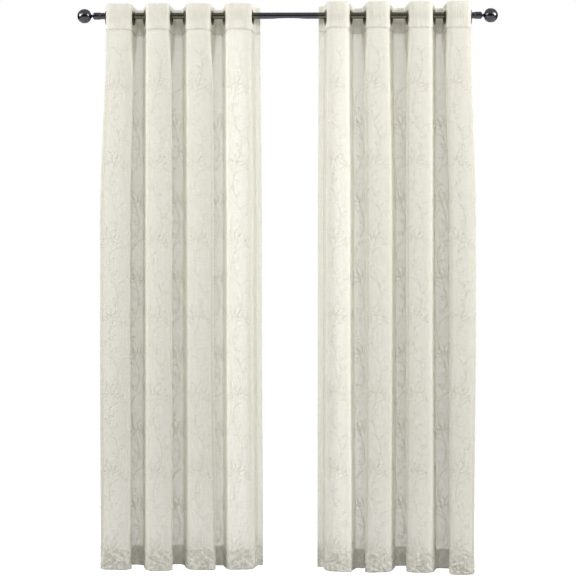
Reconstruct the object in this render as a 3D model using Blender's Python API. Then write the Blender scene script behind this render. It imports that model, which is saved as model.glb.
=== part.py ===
"""A pair of sheer voile curtain panels with metal eyelet rings, hung on a ball-ended rod.

Metres, +Z up, +Y towards the room's wall, +X to the viewer's right. The origin is on the rod's
axis, half way along it. Each panel is one width of cloth, led in front of the rod and behind it by
turns through its eyelets.
"""

import math
from collections import namedtuple

import bpy
import numpy as np

# Clearance between neighbouring pieces
SEAT_GAP = 0.0003

# The rod, its end collars and the ball finials
ROD_RADIUS = 0.0125
ROD_WALL = 0.0012
ROD_END = 0.733
COLLAR_RADIUS = 0.014
COLLAR_START = 0.711
COLLAR_END = 0.738
COLLAR_CHAMFER = 0.0035
COLLAR_RIM = 0.001
ROD_SIDES = 32
BALL_RADIUS = 0.028
BALL_CENTRE = 0.771
NECK_RADIUS = 0.0055
BALL_SIDES = 22
BALL_BANDS = 10

# The cloth: a panel is seven pitches from eyelet to eyelet, and a margin past each end eyelet
EYELETS = 8
PITCH = 0.180
MARGIN = 0.056
CLOTH_THICKNESS = 0.0015
DOUBLE_THICKNESS = 0.0024
HEADING_HEIGHT = 0.098
HEM_HEIGHT = 0.076
HEM_STEP = 0.002

# How the cloth bends, as lengths along it: the turn at each corner of a fold, tighter in the stiff
# heading, the face between two corners, and the flat part of a margin next to its eyelet
HEADING_TURN = 0.030
CLOTH_TURN = 0.036
LEAST_TURN = 0.008
LEAST_FACE = 0.006
TURN_STEPS = 3
MARGIN_FLAT = 0.0295
MARGIN_TURN = 0.0205

# The eyelet rings, which grip the heading and hang on top of the rod
RING_INNER = 0.020
RING_BARREL = 0.0223
RING_OUTER = 0.0295
RING_CROWN = 0.0219
RING_HALF = 0.0027
RING_LIP_HALF = 0.0017
RING_EDGE = 0.0001
RING_SIDES = 18
SLOT_HALF = DOUBLE_THICKNESS / 2 + SEAT_GAP
HOLE_RADIUS = 0.0227
RING_CENTRE_Z = ROD_RADIUS + SEAT_GAP - RING_INNER * math.cos(math.pi / RING_SIDES)

# A wall is the stretch of cloth that crosses the rod at an eyelet. top, middle and hem place it
# along the rod at the heading, at mid height and at the hem. lean is its angle from square to the
# rod, in degrees, so that a front fold is narrower at its face than at the rod.
Wall = namedtuple("Wall", "top middle hem lean")
# left_edge and right_edge turn the free margins, in degrees: 0 runs along the rod and 90 straight
# back. hem_lift raises or drops the hem at the middle of each fold, from left to right.
Panel = namedtuple("Panel", "name top hem left_edge right_edge walls hem_lift")

LEFT = Panel(
    name="left",
    top=0.038,
    hem=-2.098,
    left_edge=92,
    right_edge=8,
    walls=(
        Wall(-0.686, -0.709, -0.707, 2.0),
        Wall(-0.587, -0.598, -0.596, 11.0),
        Wall(-0.541, -0.541, -0.541, 8.0),
        Wall(-0.443, -0.441, -0.439, 5.0),
        Wall(-0.389, -0.386, -0.384, 11.0),
        Wall(-0.287, -0.283, -0.275, 3.0),
        Wall(-0.238, -0.235, -0.233, 7.0),
        Wall(-0.135, -0.129, -0.124, 5.0),
    ),
    hem_lift=(0.000, -0.003, -0.003, -0.001, 0.001, -0.006, 0.003),
)
RIGHT = Panel(
    name="right",
    top=0.043,
    hem=-2.106,
    left_edge=6,
    right_edge=92,
    walls=(
        Wall(0.147, 0.144, 0.142, 2.0),
        Wall(0.240, 0.244, 0.249, 4.0),
        Wall(0.296, 0.301, 0.299, 7.0),
        Wall(0.393, 0.403, 0.401, 5.0),
        Wall(0.457, 0.456, 0.454, 8.0),
        Wall(0.555, 0.555, 0.558, 3.0),
        Wall(0.600, 0.619, 0.617, 9.0),
        Wall(0.694, 0.714, 0.707, 3.0),
    ),
    hem_lift=(0.005, -0.007, 0.002, 0.003, 0.001, -0.006, -0.006),
)

# Rows of the hanging cloth, as shares of the way from the heading's seam to the hem's seam. A wall
# has left its place at the heading by TOP_ZONE and starts towards its place at the hem at HEM_ZONE.
ROWS = (0.0, 0.04, 0.13, 0.24, 0.36, 0.50, 0.64, 0.79, 1.0)
TOP_ZONE = 0.38
HEM_ZONE = 0.55

# Steps for adding up a curve from its direction, and halvings when a length is solved for
CURVE_STEPS = 480
HALVINGS = 40


def smooth(share):
    """0 to 1 with a level start and end, held outside that range."""
    share = np.clip(share, 0.0, 1.0)
    return share * share * (3.0 - 2.0 * share)


def walked(lengths, directions, along):
    """Plan points at lengths along a curve whose direction is given at every small step."""
    step = np.diff(lengths)
    middle = (directions[1:] + directions[:-1]) / 2
    x = np.concatenate([[0.0], np.cumsum(np.cos(middle) * step)])
    y = np.concatenate([[0.0], np.cumsum(np.sin(middle) * step)])
    return np.interp(along, lengths, x), np.interp(along, lengths, y)


def bay_points(along, turn, face, start, end):
    """Plan points of the cloth from one eyelet, at (0, 0), to the next.

    It runs straight from the eyelet in direction start, turns to lie along the rod, crosses the
    fold's face, turns again and runs straight to the next eyelet in direction end.
    """
    lengths = np.linspace(0.0, PITCH, CURVE_STEPS + 1)
    from_middle = PITCH / 2 - lengths
    turned_share = smooth((np.abs(from_middle) - face / 2) / turn)
    directions = turned_share * np.where(from_middle > 0, start, end)
    x, y = walked(lengths, directions, along)
    drift = walked(lengths, directions, PITCH)[1]
    return x, y - drift * along / PITCH


def halved(low, high, falls_short):
    """The value between low and high at which falls_short turns false."""
    for _ in range(HALVINGS):
        guess = (low + high) / 2
        low, high = (guess, high) if falls_short(guess) else (low, guess)
    return (low + high) / 2


def bay_shape(width, turn, start, end):
    """The turn and face lengths with which one pitch of cloth spans the given width."""

    def too_narrow(tried_turn, face):
        return bay_points(PITCH, tried_turn, face, start, end)[0] < width

    if too_narrow(turn, LEAST_FACE):
        return turn, halved(LEAST_FACE, PITCH - 2 * turn, lambda face: too_narrow(turn, face))
    return halved(LEAST_TURN, turn, lambda tried: too_narrow(tried, LEAST_FACE)), LEAST_FACE


def wall_direction(number, lean):
    """Even walls run towards the viewer and odd ones towards the room's wall, in radians."""
    square = math.radians(90.0 - lean)
    return square if number % 2 else -square


def wall_place(wall, share):
    """Where a wall stands at a share of the way down from the heading's seam to the hem's."""
    to_middle = smooth(share / TOP_ZONE)
    to_hem = smooth((share - HEM_ZONE) / (1.0 - HEM_ZONE))
    return wall.top + (wall.middle - wall.top) * to_middle + (wall.hem - wall.middle) * to_hem


def margin_points(direction, edge_direction):
    """Plan points of a free margin, going outwards from its eyelet at (0, 0)."""
    lengths = np.linspace(0.0, MARGIN, CURVE_STEPS + 1)
    turned_share = smooth((lengths - MARGIN_FLAT) / MARGIN_TURN)
    directions = direction + (edge_direction - direction) * turned_share
    along = np.array([MARGIN_FLAT, (MARGIN_FLAT + MARGIN) / 2, MARGIN])
    return (*walked(lengths, directions, along), along)


def plan_curve(panel, share, turn):
    """Plan points of the whole width at one height, and each point's length along the cloth."""
    directions = [wall_direction(i, wall.lean) for i, wall in enumerate(panel.walls)]
    places = [wall_place(wall, share) for wall in panel.walls]
    last = EYELETS - 1

    left_edge = math.pi - math.radians(panel.left_edge)
    x, y, along = margin_points(math.pi + directions[0], left_edge)
    xs = [*(places[0] + x[::-1]), places[0]]
    ys = [*y[::-1], 0.0]
    lengths = [*-along[::-1], 0.0]
    for i in range(last):
        width = places[i + 1] - places[i]
        bay_turn, face = bay_shape(width, turn, directions[i], directions[i + 1])
        straight = (PITCH - face) / 2 - bay_turn
        first_turn = straight + bay_turn * np.arange(TURN_STEPS + 1) / TURN_STEPS
        along = np.array([*first_turn, *(PITCH - first_turn[::-1]), PITCH])
        x, y = bay_points(along, bay_turn, face, directions[i], directions[i + 1])
        xs += [*(places[i] + x)]
        ys += [*y]
        lengths += [*(i * PITCH + along)]
    x, y, along = margin_points(directions[last], math.radians(panel.right_edge))
    xs += [*(places[last] + x)]
    ys += [*y]
    lengths += [*(last * PITCH + along)]
    return np.array(xs), np.array(ys), np.array(lengths)


def hem_height(panel, lengths):
    """The hem's height: it rises and dips a little from one fold to the next."""
    fold_middles = (np.arange(EYELETS - 1) + 0.5) * PITCH
    return panel.hem + np.interp(lengths, fold_middles, panel.hem_lift)


def finish(name, colour, roughness, metallic):
    material = bpy.data.materials.new(name)
    material.use_nodes = True
    shader = material.node_tree.nodes["Principled BSDF"]
    shader.inputs["Base Color"].default_value = (*colour, 1.0)
    shader.inputs["Roughness"].default_value = roughness
    shader.inputs["Metallic"].default_value = metallic
    return material


def voile():
    return finish("voile", (0.86, 0.84, 0.77), roughness=0.85, metallic=0.0)


def pewter():
    return finish("pewter", (0.10, 0.095, 0.11), roughness=0.28, metallic=1.0)


def eyelet_metal():
    return finish("eyelet metal", (0.13, 0.12, 0.11), roughness=0.32, metallic=1.0)


def new_object(name, points, faces, material):
    mesh = bpy.data.meshes.new(name)
    mesh.from_pydata([tuple(point) for point in points], [], faces)
    mesh.materials.append(material)
    mesh.shade_smooth()
    made = bpy.data.objects.new(name, mesh)
    bpy.context.scene.collection.objects.link(made)
    return made


def sheet(name, rows, thickness, material):
    """A sheet through rows of points, thickened equally on both sides."""
    rows = np.array(rows)
    count, width = rows.shape[:2]
    faces = [
        (r * width + c, (r + 1) * width + c, (r + 1) * width + c + 1, r * width + c + 1)
        for r in range(count - 1)
        for c in range(width - 1)
    ]
    made = new_object(name, rows.reshape(-1, 3), faces, material)
    thicken = made.modifiers.new("Thickness", "SOLIDIFY")
    thicken.thickness = thickness
    thicken.offset = 0.0
    return made


def turned(name, profile, sides, material):
    """A solid turned about X from (x, radius) pairs, which close up or start and end on the axis.

    The profile runs from high x to low x along the outside.
    """
    on_axis = profile[0][1] == 0.0
    rings = profile[1:-1] if on_axis else profile
    angles = math.pi / 2 + 2 * math.pi * np.arange(sides) / sides
    points = [(x, r * math.cos(a), r * math.sin(a)) for x, r in rings for a in angles]
    bands = len(rings) - 1 if on_axis else len(rings)
    faces = []
    for band in range(bands):
        high, low = band * sides, (band + 1) % len(rings) * sides
        for side in range(sides):
            after = (side + 1) % sides
            faces.append((high + side, low + side, low + after, high + after))
    if on_axis:
        first, last = len(points), len(points) + 1
        points += [(profile[0][0], 0.0, 0.0), (profile[-1][0], 0.0, 0.0)]
        low = bands * sides
        faces += [(first, side, (side + 1) % sides) for side in range(sides)]
        faces += [(last, low + (side + 1) % sides, low + side) for side in range(sides)]
    made = new_object(name, points, faces, material)
    made.data.set_sharp_from_angle(angle=math.radians(40))
    return made


def rod(material):
    """The rod is a tube, open at both ends until the collars close it."""
    inner = ROD_RADIUS - ROD_WALL
    profile = [(-ROD_END, ROD_RADIUS), (-ROD_END, inner), (ROD_END, inner), (ROD_END, ROD_RADIUS)]
    turned("rod", profile, ROD_SIDES, material)


def collar(name, side, material):
    """A cap that slips over the rod's end, with a chamfered outer rim."""
    bore = ROD_RADIUS + SEAT_GAP
    floor = ROD_END + SEAT_GAP
    profile = [
        (COLLAR_END, 0.0),
        (COLLAR_END, COLLAR_RADIUS - COLLAR_CHAMFER),
        (COLLAR_END - COLLAR_CHAMFER, COLLAR_RADIUS),
        (COLLAR_START + COLLAR_RIM, COLLAR_RADIUS),
        (COLLAR_START, (COLLAR_RADIUS + bore) / 2),
        (COLLAR_START, bore),
        (floor, bore),
        (floor, 0.0),
    ]
    made = turned(name, profile, ROD_SIDES, material)
    made.rotation_euler.z = 0.0 if side > 0 else math.pi


def ball(name, side, material):
    """A ball with the short neck that stands on the collar's end."""
    neck_angle = math.pi - math.asin(NECK_RADIUS / BALL_RADIUS)
    angles = neck_angle * np.arange(1, BALL_BANDS + 1) / BALL_BANDS
    arc = [(BALL_CENTRE + BALL_RADIUS * math.cos(a), BALL_RADIUS * math.sin(a)) for a in angles]
    foot = COLLAR_END + SEAT_GAP
    profile = [(BALL_CENTRE + BALL_RADIUS, 0.0), *arc, (foot, NECK_RADIUS), (foot, 0.0)]
    made = turned(name, profile, BALL_SIDES, material)
    made.rotation_euler.z = 0.0 if side > 0 else math.pi


def set_on_wall(made, wall, direction):
    """Stands a piece turned about X at an eyelet, with its axis square to the cloth there."""
    made.location = (wall.top, 0.0, RING_CENTRE_Z)
    made.rotation_euler.z = direction + (math.pi / 2 if direction < 0 else -math.pi / 2)


def ring(name, wall, direction, material):
    """An eyelet: two flanges and a barrel, which grip the heading in the slot between them."""
    half = [
        (RING_LIP_HALF, RING_INNER),
        (RING_HALF, RING_CROWN),
        (SLOT_HALF + RING_EDGE, RING_OUTER),
        (SLOT_HALF, RING_BARREL),
    ]
    profile = [*half, *[(-x, radius) for x, radius in half[::-1]]]
    set_on_wall(turned(name, profile, RING_SIDES, material), wall, direction)


def punch(band, name, wall, direction, material):
    """Cuts the round hole for a ring's barrel out of the heading."""
    reach = 2 * DOUBLE_THICKNESS
    profile = [(reach, 0.0), (reach, HOLE_RADIUS), (-reach, HOLE_RADIUS), (-reach, 0.0)]
    cutter = turned(name, profile, RING_SIDES, material)
    set_on_wall(cutter, wall, direction)
    cutter.hide_render = True
    cutter.display_type = "WIRE"
    cut = band.modifiers.new(name, "BOOLEAN")
    cut.operation = "DIFFERENCE"
    cut.object = cutter


def heading(panel, material, ring_material):
    """The doubled band at the top, with a round hole and a ring at each eyelet."""
    x, y, _ = plan_curve(panel, 0.0, HEADING_TURN)
    rows = [
        np.stack([x, y, np.full_like(x, height)], axis=1)
        for height in (panel.top - HEADING_HEIGHT, panel.top)
    ]
    band = sheet(f"heading_{panel.name}", rows, DOUBLE_THICKNESS, material)
    for i, wall in enumerate(panel.walls):
        direction = wall_direction(i, wall.lean)
        punch(band, f"hole_{panel.name}_{i + 1}", wall, direction, material)
        ring(f"eyelet_{panel.name}_{i + 1}", wall, direction, ring_material)


def hanging_cloth(panel, material):
    """The voile below the heading, down to its hem, where the same cloth is turned up double."""
    seam = panel.top - HEADING_HEIGHT - SEAT_GAP
    rows = []
    for share in ROWS:
        turn = HEADING_TURN + (CLOTH_TURN - HEADING_TURN) * smooth(share / TOP_ZONE)
        x, y, lengths = plan_curve(panel, share, turn)
        hem_seam = hem_height(panel, lengths) + HEM_HEIGHT
        rows.append(np.stack([x, y, seam + (hem_seam - seam) * share], axis=1))
    rows += [rows[-1] - (0.0, 0.0, drop) for drop in (HEM_STEP, HEM_HEIGHT)]

    cloth = sheet(f"panel_{panel.name}", rows, DOUBLE_THICKNESS, material)
    width = len(rows[0])
    hem = cloth.vertex_groups.new(name="Hem")
    hem.add(list(range(len(ROWS) * width, len(rows) * width)), 1.0, "REPLACE")
    thicken = cloth.modifiers["Thickness"]
    thicken.vertex_group = hem.name
    thicken.thickness_vertex_group = CLOTH_THICKNESS / DOUBLE_THICKNESS


def main():
    for old in list(bpy.data.objects):
        bpy.data.objects.remove(old)
    rod_material = pewter()
    rod(rod_material)
    for side, word in ((-1, "left"), (1, "right")):
        collar(f"collar_{word}", side, rod_material)
        ball(f"ball_{word}", side, rod_material)
    cloth_material = voile()
    ring_material = eyelet_metal()
    for panel in (LEFT, RIGHT):
        heading(panel, cloth_material, ring_material)
        hanging_cloth(panel, cloth_material)


main()
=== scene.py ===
import math

import bpy
import numpy as np
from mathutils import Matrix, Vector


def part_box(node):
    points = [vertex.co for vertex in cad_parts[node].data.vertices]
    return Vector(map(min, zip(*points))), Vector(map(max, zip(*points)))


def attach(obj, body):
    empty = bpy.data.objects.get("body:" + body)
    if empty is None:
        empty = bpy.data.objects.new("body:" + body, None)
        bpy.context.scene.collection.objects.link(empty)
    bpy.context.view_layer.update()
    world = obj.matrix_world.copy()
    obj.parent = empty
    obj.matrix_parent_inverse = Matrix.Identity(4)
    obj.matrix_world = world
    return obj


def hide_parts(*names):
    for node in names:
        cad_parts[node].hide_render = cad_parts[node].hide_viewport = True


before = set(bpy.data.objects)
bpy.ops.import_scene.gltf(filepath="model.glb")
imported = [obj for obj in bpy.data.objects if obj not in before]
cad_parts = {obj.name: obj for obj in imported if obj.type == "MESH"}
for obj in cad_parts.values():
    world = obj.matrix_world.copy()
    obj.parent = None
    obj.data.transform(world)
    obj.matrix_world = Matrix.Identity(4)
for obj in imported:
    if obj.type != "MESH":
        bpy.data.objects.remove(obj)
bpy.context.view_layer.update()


# The rod
# A straight steel tube plated in dark pewter, which both panels share. It is drawn as one smooth
# tube whose ends stand inside the collars.
ROD_RADIUS = 0.0125
ROD_BORE = 0.0113
ROD_SIDES = 64
ROD_EDGE = 0.0004
PEWTER_COLOUR = (0.085, 0.083, 0.098)
PEWTER_ROUGHNESS = 0.20
# A warm painted reflection of the ivory cloth lies on the two stretches of the rod where the rings
# slide: how far their middles are from the rod's middle, half their length, and how far it fades in.
CLOTH_REFLECTION_COLOUR = (0.128, 0.123, 0.092)
CLOTH_REFLECTION_MIDDLE = 0.400
CLOTH_REFLECTION_HALF = 0.292
CLOTH_REFLECTION_FADE = 0.012


def mesh_object(name, points, faces, material, smooth_angle=None):
    """A new object at the origin with these points and faces, shaded smooth up to smooth_angle."""
    mesh = bpy.data.meshes.new(name)
    mesh.from_pydata(points.tolist(), [], faces.tolist())
    mesh.materials.append(material)
    mesh.shade_smooth()
    if smooth_angle is not None:
        mesh.set_sharp_from_angle(angle=math.radians(smooth_angle))
    made = bpy.data.objects.new(name, mesh)
    bpy.context.scene.collection.objects.link(made)
    return made


def grid_faces(rows, columns, close_rows=False, close_columns=False):
    """Quads of a grid of points: each joins a point, the next in its row, and the two below them."""
    row = np.arange(rows if close_rows else rows - 1)[:, None]
    column = np.arange(columns if close_columns else columns - 1)[None, :]
    below, beside = (row + 1) % rows, (column + 1) % columns
    corners = [
        row * columns + column,
        below * columns + column,
        below * columns + beside,
        row * columns + beside,
    ]
    return np.stack(np.broadcast_arrays(*corners), axis=-1).reshape(-1, 4)


def turned(profile, sides):
    """Points and faces of a closed (x, radius) profile carried round the X axis.

    A point at angle a is (x, radius cos a, radius sin a). The profile runs from high x to low x
    along the outside, and back along the inside or through the axis.
    """
    x, radius = np.array(profile).T
    angle = math.pi / 2 + 2 * math.pi * np.arange(sides) / sides
    across = np.broadcast_to(x[:, None], (len(x), sides))
    points = np.stack([across, np.outer(radius, np.cos(angle)), np.outer(radius, np.sin(angle))], -1)
    return points.reshape(-1, 3), grid_faces(len(x), sides, close_rows=True, close_columns=True)


def closed_at_axis(made):
    """Merges the points that a turned profile leaves on its axis, which closes its poles."""
    import bmesh

    welded = bmesh.new()
    welded.from_mesh(made.data)
    bmesh.ops.remove_doubles(welded, verts=welded.verts, dist=1e-6)
    bmesh.ops.dissolve_degenerate(welded, edges=welded.edges, dist=1e-6)
    welded.to_mesh(made.data)
    welded.free()


def socket(group, name, kind, way, value=None):
    """One named socket of a shader node group."""
    made = group.interface.new_socket(name=name, in_out=way, socket_type=kind)
    if value is not None:
        made.default_value = value
    return made


def node(tree, kind, inputs=None, **settings):
    """A node with its settings. inputs maps a socket's name or number to a value or a socket."""
    made = tree.nodes.new(kind)
    for name, value in settings.items():
        setattr(made, name, value)
    for key, value in (inputs or {}).items():
        if isinstance(value, bpy.types.NodeSocket):
            tree.links.new(value, made.inputs[key])
        else:
            made.inputs[key].default_value = value
    return made


def maths(tree, operation, *values, clamp=False):
    """The output of a Math node on one to three values or sockets."""
    made = node(tree, "ShaderNodeMath", dict(enumerate(values)), operation=operation, use_clamp=clamp)
    return made.outputs[0]


def material_named(name):
    """A material with only an output node, its tree and that output."""
    material = bpy.data.materials.new(name)
    material.use_nodes = True
    material.node_tree.nodes.clear()
    output = material.node_tree.nodes.new("ShaderNodeOutputMaterial")
    return material, material.node_tree, output


def handled_plating_group():
    """Plated metal that has been handled: cloudy roughness, faint tint and fine polishing marks."""
    group = bpy.data.node_groups.new("Handled plating", "ShaderNodeTree")
    socket(group, "Vector", "NodeSocketVector", "INPUT")
    socket(group, "Colour", "NodeSocketColor", "INPUT", (0.1, 0.1, 0.1, 1.0))
    socket(group, "Roughness", "NodeSocketFloat", "INPUT", 0.3)
    socket(group, "Clouding", "NodeSocketFloat", "INPUT", 0.1)
    socket(group, "Colour", "NodeSocketColor", "OUTPUT")
    socket(group, "Roughness", "NodeSocketFloat", "OUTPUT")
    socket(group, "Height", "NodeSocketFloat", "OUTPUT")
    given = node(group, "NodeGroupInput").outputs
    vector = given["Vector"]
    clouds = node(group, "ShaderNodeTexNoise", {"Vector": vector, "Scale": 45.0, "Detail": 4.0})
    stretched = node(group, "ShaderNodeMapping", {"Vector": vector, "Scale": (60.0, 2600.0, 2600.0)})
    marks = node(group, "ShaderNodeTexNoise", {"Vector": stretched.outputs[0], "Scale": 1.0})
    spread = maths(group, "SUBTRACT", clouds.outputs[0], 0.5)
    cloudy = maths(group, "MULTIPLY", spread, given["Clouding"])
    roughness = maths(group, "ADD", given["Roughness"], cloudy, clamp=True)
    shade = maths(group, "MULTIPLY_ADD", spread, 0.5, 1.0)
    tint = node(
        group,
        "ShaderNodeVectorMath",
        {0: given["Colour"], "Scale": shade},
        operation="SCALE",
    )
    found = {"Colour": tint.outputs[0], "Roughness": roughness, "Height": marks.outputs[0]}
    node(group, "NodeGroupOutput", found)
    return group


def painted_cloth_reflection(tree, place, colour):
    """The plating's colour along X, with a warm painted reflection of the ivory cloth where the rings
    slide.
    """
    along = maths(tree, "ABSOLUTE", node(tree, "ShaderNodeSeparateXYZ", {0: place}).outputs[0])
    offset = maths(tree, "ABSOLUTE", maths(tree, "SUBTRACT", along, CLOTH_REFLECTION_MIDDLE))
    share = maths(
        tree, "MULTIPLY_ADD", offset, -1 / CLOTH_REFLECTION_FADE, CLOTH_REFLECTION_HALF / CLOTH_REFLECTION_FADE, clamp=True
    )
    tones = {"Fac": share, "Color1": (*colour, 1.0), "Color2": (*CLOTH_REFLECTION_COLOUR, 1.0)}
    return node(tree, "ShaderNodeMixRGB", tones).outputs[0]


def plated(name, colour, roughness, clouding, mark_depth, coat, with_cloth_reflection=False):
    """A plated metal with the handled look, a thin lacquer and polishing marks in its normal."""
    material, tree, output = material_named(name)
    place = node(tree, "ShaderNodeTexCoord").outputs["Object"]
    wear = node(tree, "ShaderNodeGroup", node_tree=plating)
    tree.links.new(place, wear.inputs["Vector"])
    # If asked, the colour carries a painted reflection of the ivory cloth along the rod.
    if with_cloth_reflection:
        tree.links.new(painted_cloth_reflection(tree, place, colour), wear.inputs["Colour"])
    else:
        wear.inputs["Colour"].default_value = (*colour, 1.0)
    wear.inputs["Roughness"].default_value = roughness
    wear.inputs["Clouding"].default_value = clouding
    marks = node(
        tree,
        "ShaderNodeBump",
        {"Height": wear.outputs["Height"], "Strength": 0.35, "Distance": mark_depth},
    )
    shader = node(
        tree,
        "ShaderNodeBsdfPrincipled",
        {
            "Base Color": wear.outputs["Colour"],
            "Roughness": wear.outputs["Roughness"],
            "Metallic": 1.0,
            "Coat Weight": coat,
            "Coat Roughness": 0.12,
            "Normal": marks.outputs[0],
        },
    )
    tree.links.new(shader.outputs[0], output.inputs[0])
    return material


plating = handled_plating_group()
# The rod's stretches under the panels carry a painted reflection of the ivory cloth.
pewter = plated("pewter", PEWTER_COLOUR, PEWTER_ROUGHNESS, 0.07, 0.00002, 0.3, with_cloth_reflection=True)

rod_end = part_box("rod")[1][0]
rod_profile = [
    (rod_end, ROD_RADIUS - ROD_EDGE),
    (rod_end - ROD_EDGE, ROD_RADIUS),
    (-rod_end + ROD_EDGE, ROD_RADIUS),
    (-rod_end, ROD_RADIUS - ROD_EDGE),
    (-rod_end, ROD_BORE),
    (rod_end, ROD_BORE),
]
rod = mesh_object("rod_tube", *turned(rod_profile, ROD_SIDES), pewter, smooth_angle=30)
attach(rod, "root")
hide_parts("rod")


# The end collars
# A short cap slips over each end of the rod. Its outer rim is chamfered, its inner rim is rolled,
# and a small socket-headed set screw holds it from the front.
COLLAR_RADIUS = 0.014
COLLAR_CHAMFER = 0.0035
COLLAR_BORE = 0.0128
COLLAR_DEPTH = 0.022
ROLL = 0.0009
SOFT_EDGE = 0.0006
SCREW_RADIUS = 0.0034
SCREW_FROM_START = 0.0165
SCREW_SINK = 0.0010


def softened(corners, radius, steps=4):
    """A closed outline with each corner (x, radius) swapped for a short arc-like curve.

    Each corner is a quadratic curve from a point before it to a point after it, no further away
    than a third of the side.
    """
    corners = np.array(corners, dtype=float)
    before = np.roll(corners, 1, axis=0) - corners
    after = np.roll(corners, -1, axis=0) - corners
    length_before = np.linalg.norm(before, axis=1, keepdims=True)
    length_after = np.linalg.norm(after, axis=1, keepdims=True)
    start = corners + before * np.minimum(radius / length_before, 1 / 3)
    end = corners + after * np.minimum(radius / length_after, 1 / 3)
    t = np.linspace(0, 1, steps + 1)[None, :, None]
    curve = (1 - t) ** 2 * start[:, None] + 2 * t * (1 - t) * corners[:, None] + t**2 * end[:, None]
    on_axis = corners[:, 1] == 0.0
    curve[on_axis] = corners[on_axis][:, None]
    return curve.reshape(-1, 2)


def turned_at_end(name, outline, sides, side, material, smooth_angle):
    """A turned piece at the +X end, or the same piece half a turn round for the -X end."""
    points, faces = turned(outline, sides)
    if side < 0:
        points = points * (-1.0, -1.0, 1.0)
    made = mesh_object(name, points, faces, material)
    closed_at_axis(made)
    made.data.shade_smooth()
    made.data.set_sharp_from_angle(angle=math.radians(smooth_angle))
    return made


for side, word in ((-1, "left"), (1, "right")):
    low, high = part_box(f"collar_{word}")
    start, end = sorted((abs(low[0]), abs(high[0])))
    corners = [
        (end, 0.0),
        (end, COLLAR_RADIUS - COLLAR_CHAMFER),
        (end - COLLAR_CHAMFER, COLLAR_RADIUS),
        (start + 2 * ROLL, COLLAR_RADIUS),
        (start + ROLL, COLLAR_RADIUS + ROLL / 2),
        (start, COLLAR_RADIUS),
        (start, COLLAR_BORE),
        (start + COLLAR_DEPTH, COLLAR_BORE),
        (start + COLLAR_DEPTH, 0.0),
    ]
    outline = softened(corners, SOFT_EDGE)
    collar = turned_at_end(f"end_collar_{word}", outline, ROD_SIDES, side, pewter, 35)
    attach(collar, "root")
    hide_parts(f"collar_{word}")

    screw_outline = softened(
        [
            (SCREW_RADIUS, 0.0),
            (SCREW_RADIUS, SCREW_RADIUS),
            (0.0, SCREW_RADIUS),
            (0.0, SCREW_RADIUS * 0.45),
            (SCREW_RADIUS * 0.6, SCREW_RADIUS * 0.45),
            (SCREW_RADIUS * 0.6, 0.0),
        ][::-1],
        SOFT_EDGE / 3,
    )
    points, faces = turned(screw_outline * (-1.0, 1.0), 24)
    points = np.stack([points[:, 1], points[:, 0], points[:, 2]], axis=-1)[:, :]
    points = points + (side * (start + SCREW_FROM_START), -COLLAR_RADIUS - SCREW_SINK, 0.0)
    screw = mesh_object(f"set_screw_{word}", points, faces, pewter)
    closed_at_axis(screw)
    screw.data.shade_smooth()
    screw.data.set_sharp_from_angle(angle=math.radians(35))
    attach(screw, "root")


# The ball finials
# A hollow pressed ball with a short turned neck, screwed into the collar's end. The neck flares
# where it meets both.
NECK_RADIUS = 0.0055
NECK_FLARE = 0.0022
BALL_ROUGHNESS = 0.16
BALL_SIDES = 72
BALL_STEPS = 40
NECK_STEPS = 10

polished_pewter = plated("polished_pewter", PEWTER_COLOUR, BALL_ROUGHNESS, 0.08, 0.00001, 0.4)
for side, word in ((-1, "left"), (1, "right")):
    low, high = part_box(f"ball_{word}")
    foot, tip = sorted((abs(low[0]), abs(high[0])))
    radius = (high[2] - low[2]) / 2
    centre = tip - radius
    meeting = math.pi - math.asin((NECK_RADIUS + NECK_FLARE) / radius)
    angle = np.linspace(0.0, meeting, BALL_STEPS)
    ball_outline = np.stack([centre + radius * np.cos(angle), radius * np.sin(angle)], axis=-1)
    share = np.linspace(0.0, 1.0, NECK_STEPS + 1)[1:]
    neck_start = ball_outline[-1, 0]
    neck_x = neck_start + (foot - neck_start) * share
    neck_radius = NECK_RADIUS + NECK_FLARE * np.abs(1 - 2 * share) ** 3
    neck_outline = np.stack([neck_x, neck_radius], axis=-1)
    outline = np.concatenate([ball_outline, neck_outline, [(foot, 0.0)]])
    ball = turned_at_end(f"finial_{word}", outline, BALL_SIDES, side, polished_pewter, 40)
    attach(ball, "root")
    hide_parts(f"ball_{word}")


# The voile as it hangs
# One width of cloth for each panel runs in front of the rod and behind it by turns. These sizes and
# the two functions give any point of it from its length along the cloth and its drop from the top,
# and the heading, the panel, the embroidery and the stitches all lie on them.
EYELETS = 8
PITCH = 0.180
MARGIN = 0.056
HEADING_HEIGHT = 0.098
HEM_HEIGHT = 0.076
HEADING_TURN = 0.046
CLOTH_TURN = 0.030
HEM_TURN = 0.068
TURN_ZONE = 0.12
LEAST_TURN = 0.008
LEAST_FACE = 0.006
MARGIN_FLAT = 0.0240
MARGIN_TURN = 0.0205
OVERHANG = 10.0
OVERHANG_ZONE = 0.10
TOP_ZONE = 0.38
HEM_ZONE = 0.55
COLUMN = 0.004
FINE = 12
HALVINGS = 40
HEADING_ROWS = 25
CLOTH_ROWS = 104
HEM_ROWS = 20

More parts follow.
